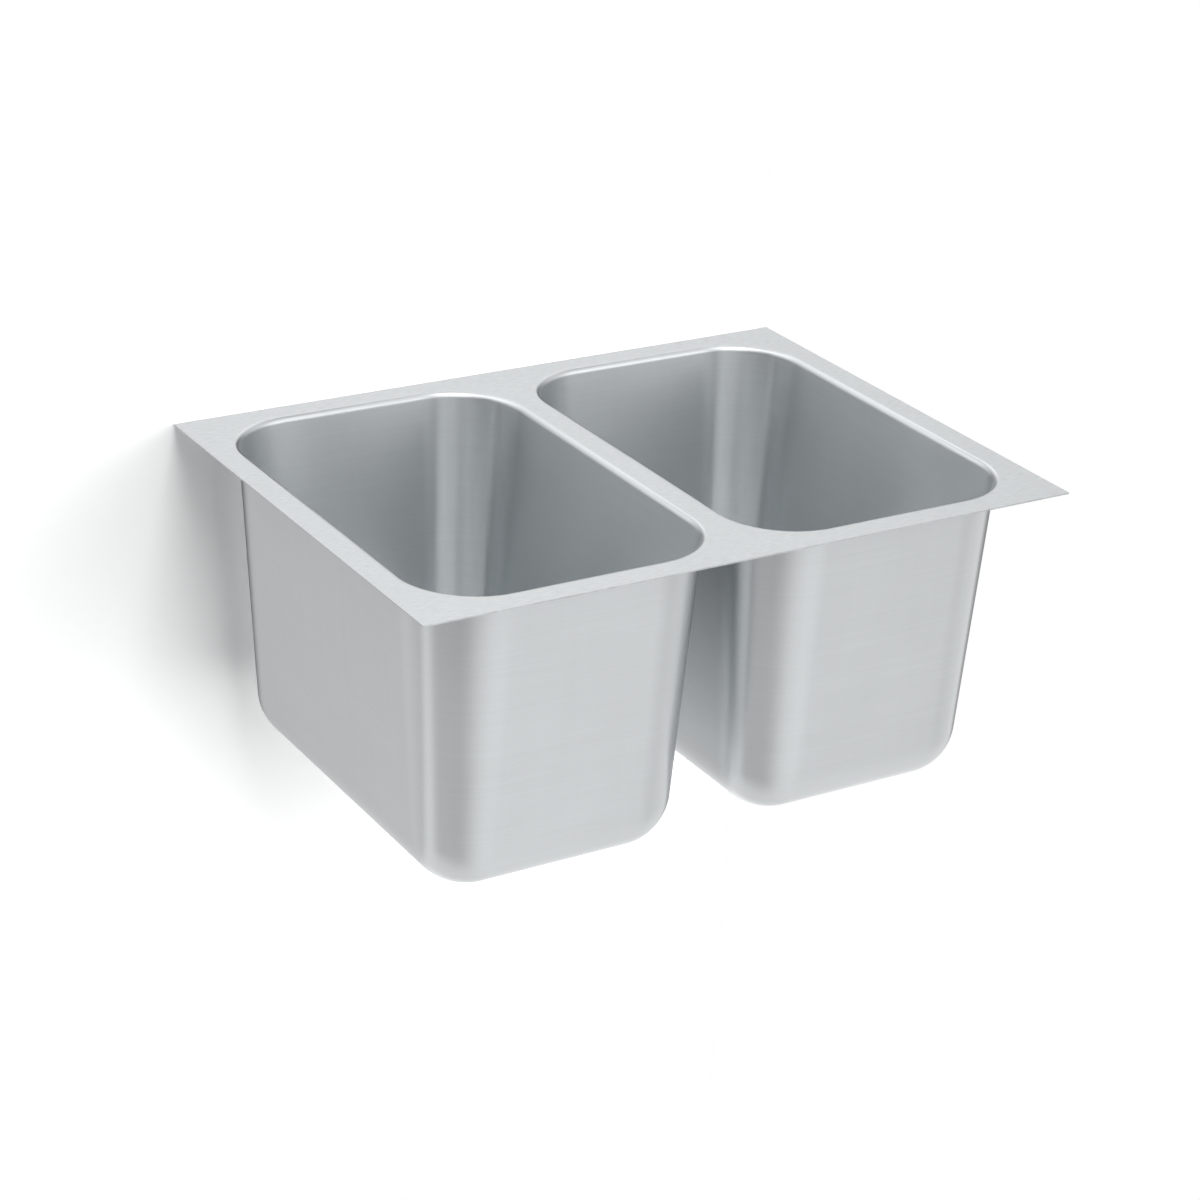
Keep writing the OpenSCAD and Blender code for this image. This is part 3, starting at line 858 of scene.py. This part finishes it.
def make_drain(side):
    """The strainer with its rings and nut, and the basket with its post, knob and stopper."""
    make_strainer_body(side)
    make_ring("flange_seal", "putty", side, SEAL_BORE, 0.25)
    make_ring("floor_gasket", "gasket_rubber", side, WASHER_BORE, 0.5, 0.35)
    make_ring("friction_ring", "fibre_card", side, WASHER_BORE, 0.15)
    make_locknut(side)
    make_cross(side)
    make_detent_ring(side)
    make_basket(side)
    make_post(side)
    make_knob(side)
    make_stopper(side)
    make_nut(side)


# Camera, stage and lights
def aim(azimuth, elevation):
    """Unit vector from the sink, with azimuths in degrees from the back towards the right."""
    azimuth, elevation = math.radians(azimuth), math.radians(elevation)
    level = math.cos(elevation)
    return Vector((math.sin(azimuth) * level, math.cos(azimuth) * level, math.sin(elevation)))


def make_camera():
    """Camera at the photograph's place, set level first and then rolled."""
    back = aim(180.0 - CAMERA_AZIMUTH, CAMERA_ELEVATION)
    right = aim(90.0 - CAMERA_AZIMUTH, 0.0)
    level = Matrix((right, back.cross(right), back)).transposed()
    turn = Matrix.Rotation(math.radians(CAMERA_ROLL), 3, "Z")
    data = bpy.data.cameras.new("camera")
    data.lens = CAMERA_LENS
    data.sensor_width = SENSOR_WIDTH
    camera = bpy.data.objects.new("camera", data)
    camera.matrix_world = Matrix.Translation(CAMERA_PLACE) @ (level @ turn).to_4x4()
    bpy.context.scene.collection.objects.link(camera)
    bpy.context.scene.camera = camera


def stage_material(name, level, seen_level, glow):
    """Pale matt paper, clear from behind, which camera and metal see at a level of its own."""
    material = bpy.data.materials.new(name)
    material.use_nodes = True
    nodes, links = material.node_tree.nodes, material.node_tree.links
    output = nodes["Material Output"]
    nodes.remove(nodes["Principled BSDF"])
    path = nodes.new("ShaderNodeLightPath").outputs
    seen = (Wire(path["Is Camera Ray"]) + Wire(path["Is Glossy Ray"])
            + Wire(path["Is Transmission Ray"]))
    matt = seen.node("BsdfDiffuse", {"Color": tone(seen, grey(level), grey(seen_level))})
    white = seen.node("Emission", {"Strength": seen * glow})
    paper = seen.node("AddShader", {0: matt, 1: white})
    backs = Wire(nodes.new("ShaderNodeNewGeometry").outputs["Backfacing"])
    hidden = backs.math("MAXIMUM", backs, Wire(path["Is Shadow Ray"]))
    clear = backs.node("BsdfTransparent", {"Color": grey(1.0)})
    mixed = backs.node("MixShader", {"Fac": hidden, 1: paper, 2: clear})
    links.new(mixed.socket, output.inputs["Surface"])
    return material


def make_sheet(name, corners, material, in_metal):
    """A sheet of paper, shown in the metal or hidden from it."""
    bm = bmesh.new()
    bm.faces.new([bm.verts.new(corner) for corner in corners])
    mesh = bpy.data.meshes.new(name)
    bm.to_mesh(mesh)
    bm.free()
    mesh.materials.append(material)
    sheet = bpy.data.objects.new(name, mesh)
    bpy.context.scene.collection.objects.link(sheet)
    sheet.visible_glossy = in_metal
    sheet.visible_transmission = in_metal


def make_stage():
    """White floor, which the metal sees as far as the wall, and the wall that takes the shadow."""
    wall_y = rim_high.y + WALL_GAP
    white = stage_material("stage_floor", PAPER_LEVEL, 0.0, FLOOR_GLOW)
    for name, front, back, in_metal in (("stage_floor", FLOOR_FRONT, wall_y, True),
                                        ("stage_back", wall_y, FLOOR_BACK, False)):
        corners = [(-FLOOR_SIDE, front, FLOOR_DROP), (FLOOR_SIDE, front, FLOOR_DROP),
                   (FLOOR_SIDE, back, FLOOR_DROP), (-FLOOR_SIDE, back, FLOOR_DROP)]
        make_sheet(name, corners, white, in_metal)
    corners = [(WALL_LEFT, wall_y, FLOOR_DROP), (WALL_RIGHT, wall_y, FLOOR_DROP),
               (WALL_RIGHT, wall_y, WALL_TOP), (WALL_LEFT, wall_y, WALL_TOP)]
    paper = stage_material("stage_wall", PAPER_LEVEL, WALL_SEEN_LEVEL, 0.0)
    make_sheet("stage_wall", corners, paper, in_metal=False)


def make_softbox(name, direction, distance, width, height, radiance):
    """Area lamp that faces the sink and isn't seen in the metal."""
    data = bpy.data.lights.new(name, "AREA")
    data.shape = "RECTANGLE"
    data.size = width
    data.size_y = height
    data.energy = radiance * math.pi * width * height
    lamp = bpy.data.objects.new(name, data)
    lamp.location = direction * distance
    lamp.rotation_euler = direction.to_track_quat("Z", "Y").to_euler()
    lamp.visible_glossy = False
    bpy.context.scene.collection.objects.link(lamp)


def make_surround():
    """World of soft lights on a plain level, white behind the sink."""
    world = bpy.data.worlds.new("studio")
    world.use_nodes = True
    bpy.context.scene.world = world
    nodes = world.node_tree.nodes
    direction = Wire(nodes.new("ShaderNodeTexCoord").outputs["Generated"])
    light = SURROUND
    for azimuth, elevation, sharpness, level in SOFT_LIGHTS:
        facing = direction.node("VectorMath", {0: direction, 1: aim(azimuth, elevation)}, output=1,
                                operation="DOT_PRODUCT")
        light = level * (math.e ** (facing * sharpness - sharpness)) + light
    light = light.math("MAXIMUM", light, DARKEST)
    path = nodes.new("ShaderNodeLightPath").outputs
    tone(Wire(path["Is Camera Ray"]), light, grey(SURROUND)).feed(nodes["Background"], "Color")
    world.cycles_visibility.diffuse = False


def make_lights():
    """The surround that the metal shows, and the lamps that light the stage and softer parts."""
    make_surround()
    for name, azimuth, elevation, distance, width, height, radiance in LAMPS:
        make_softbox(name, aim(azimuth, elevation), distance, width, height, radiance)


for side in SIDES:
    make_bowl(side)
    make_drain(side)
make_weld()
make_lights()
make_camera()
make_stage()
bpy.context.scene.view_settings.view_transform = "Standard"
bpy.context.scene.cycles.glossy_bounces = GLOSSY_BOUNCES

bpy.context.view_layer.update()
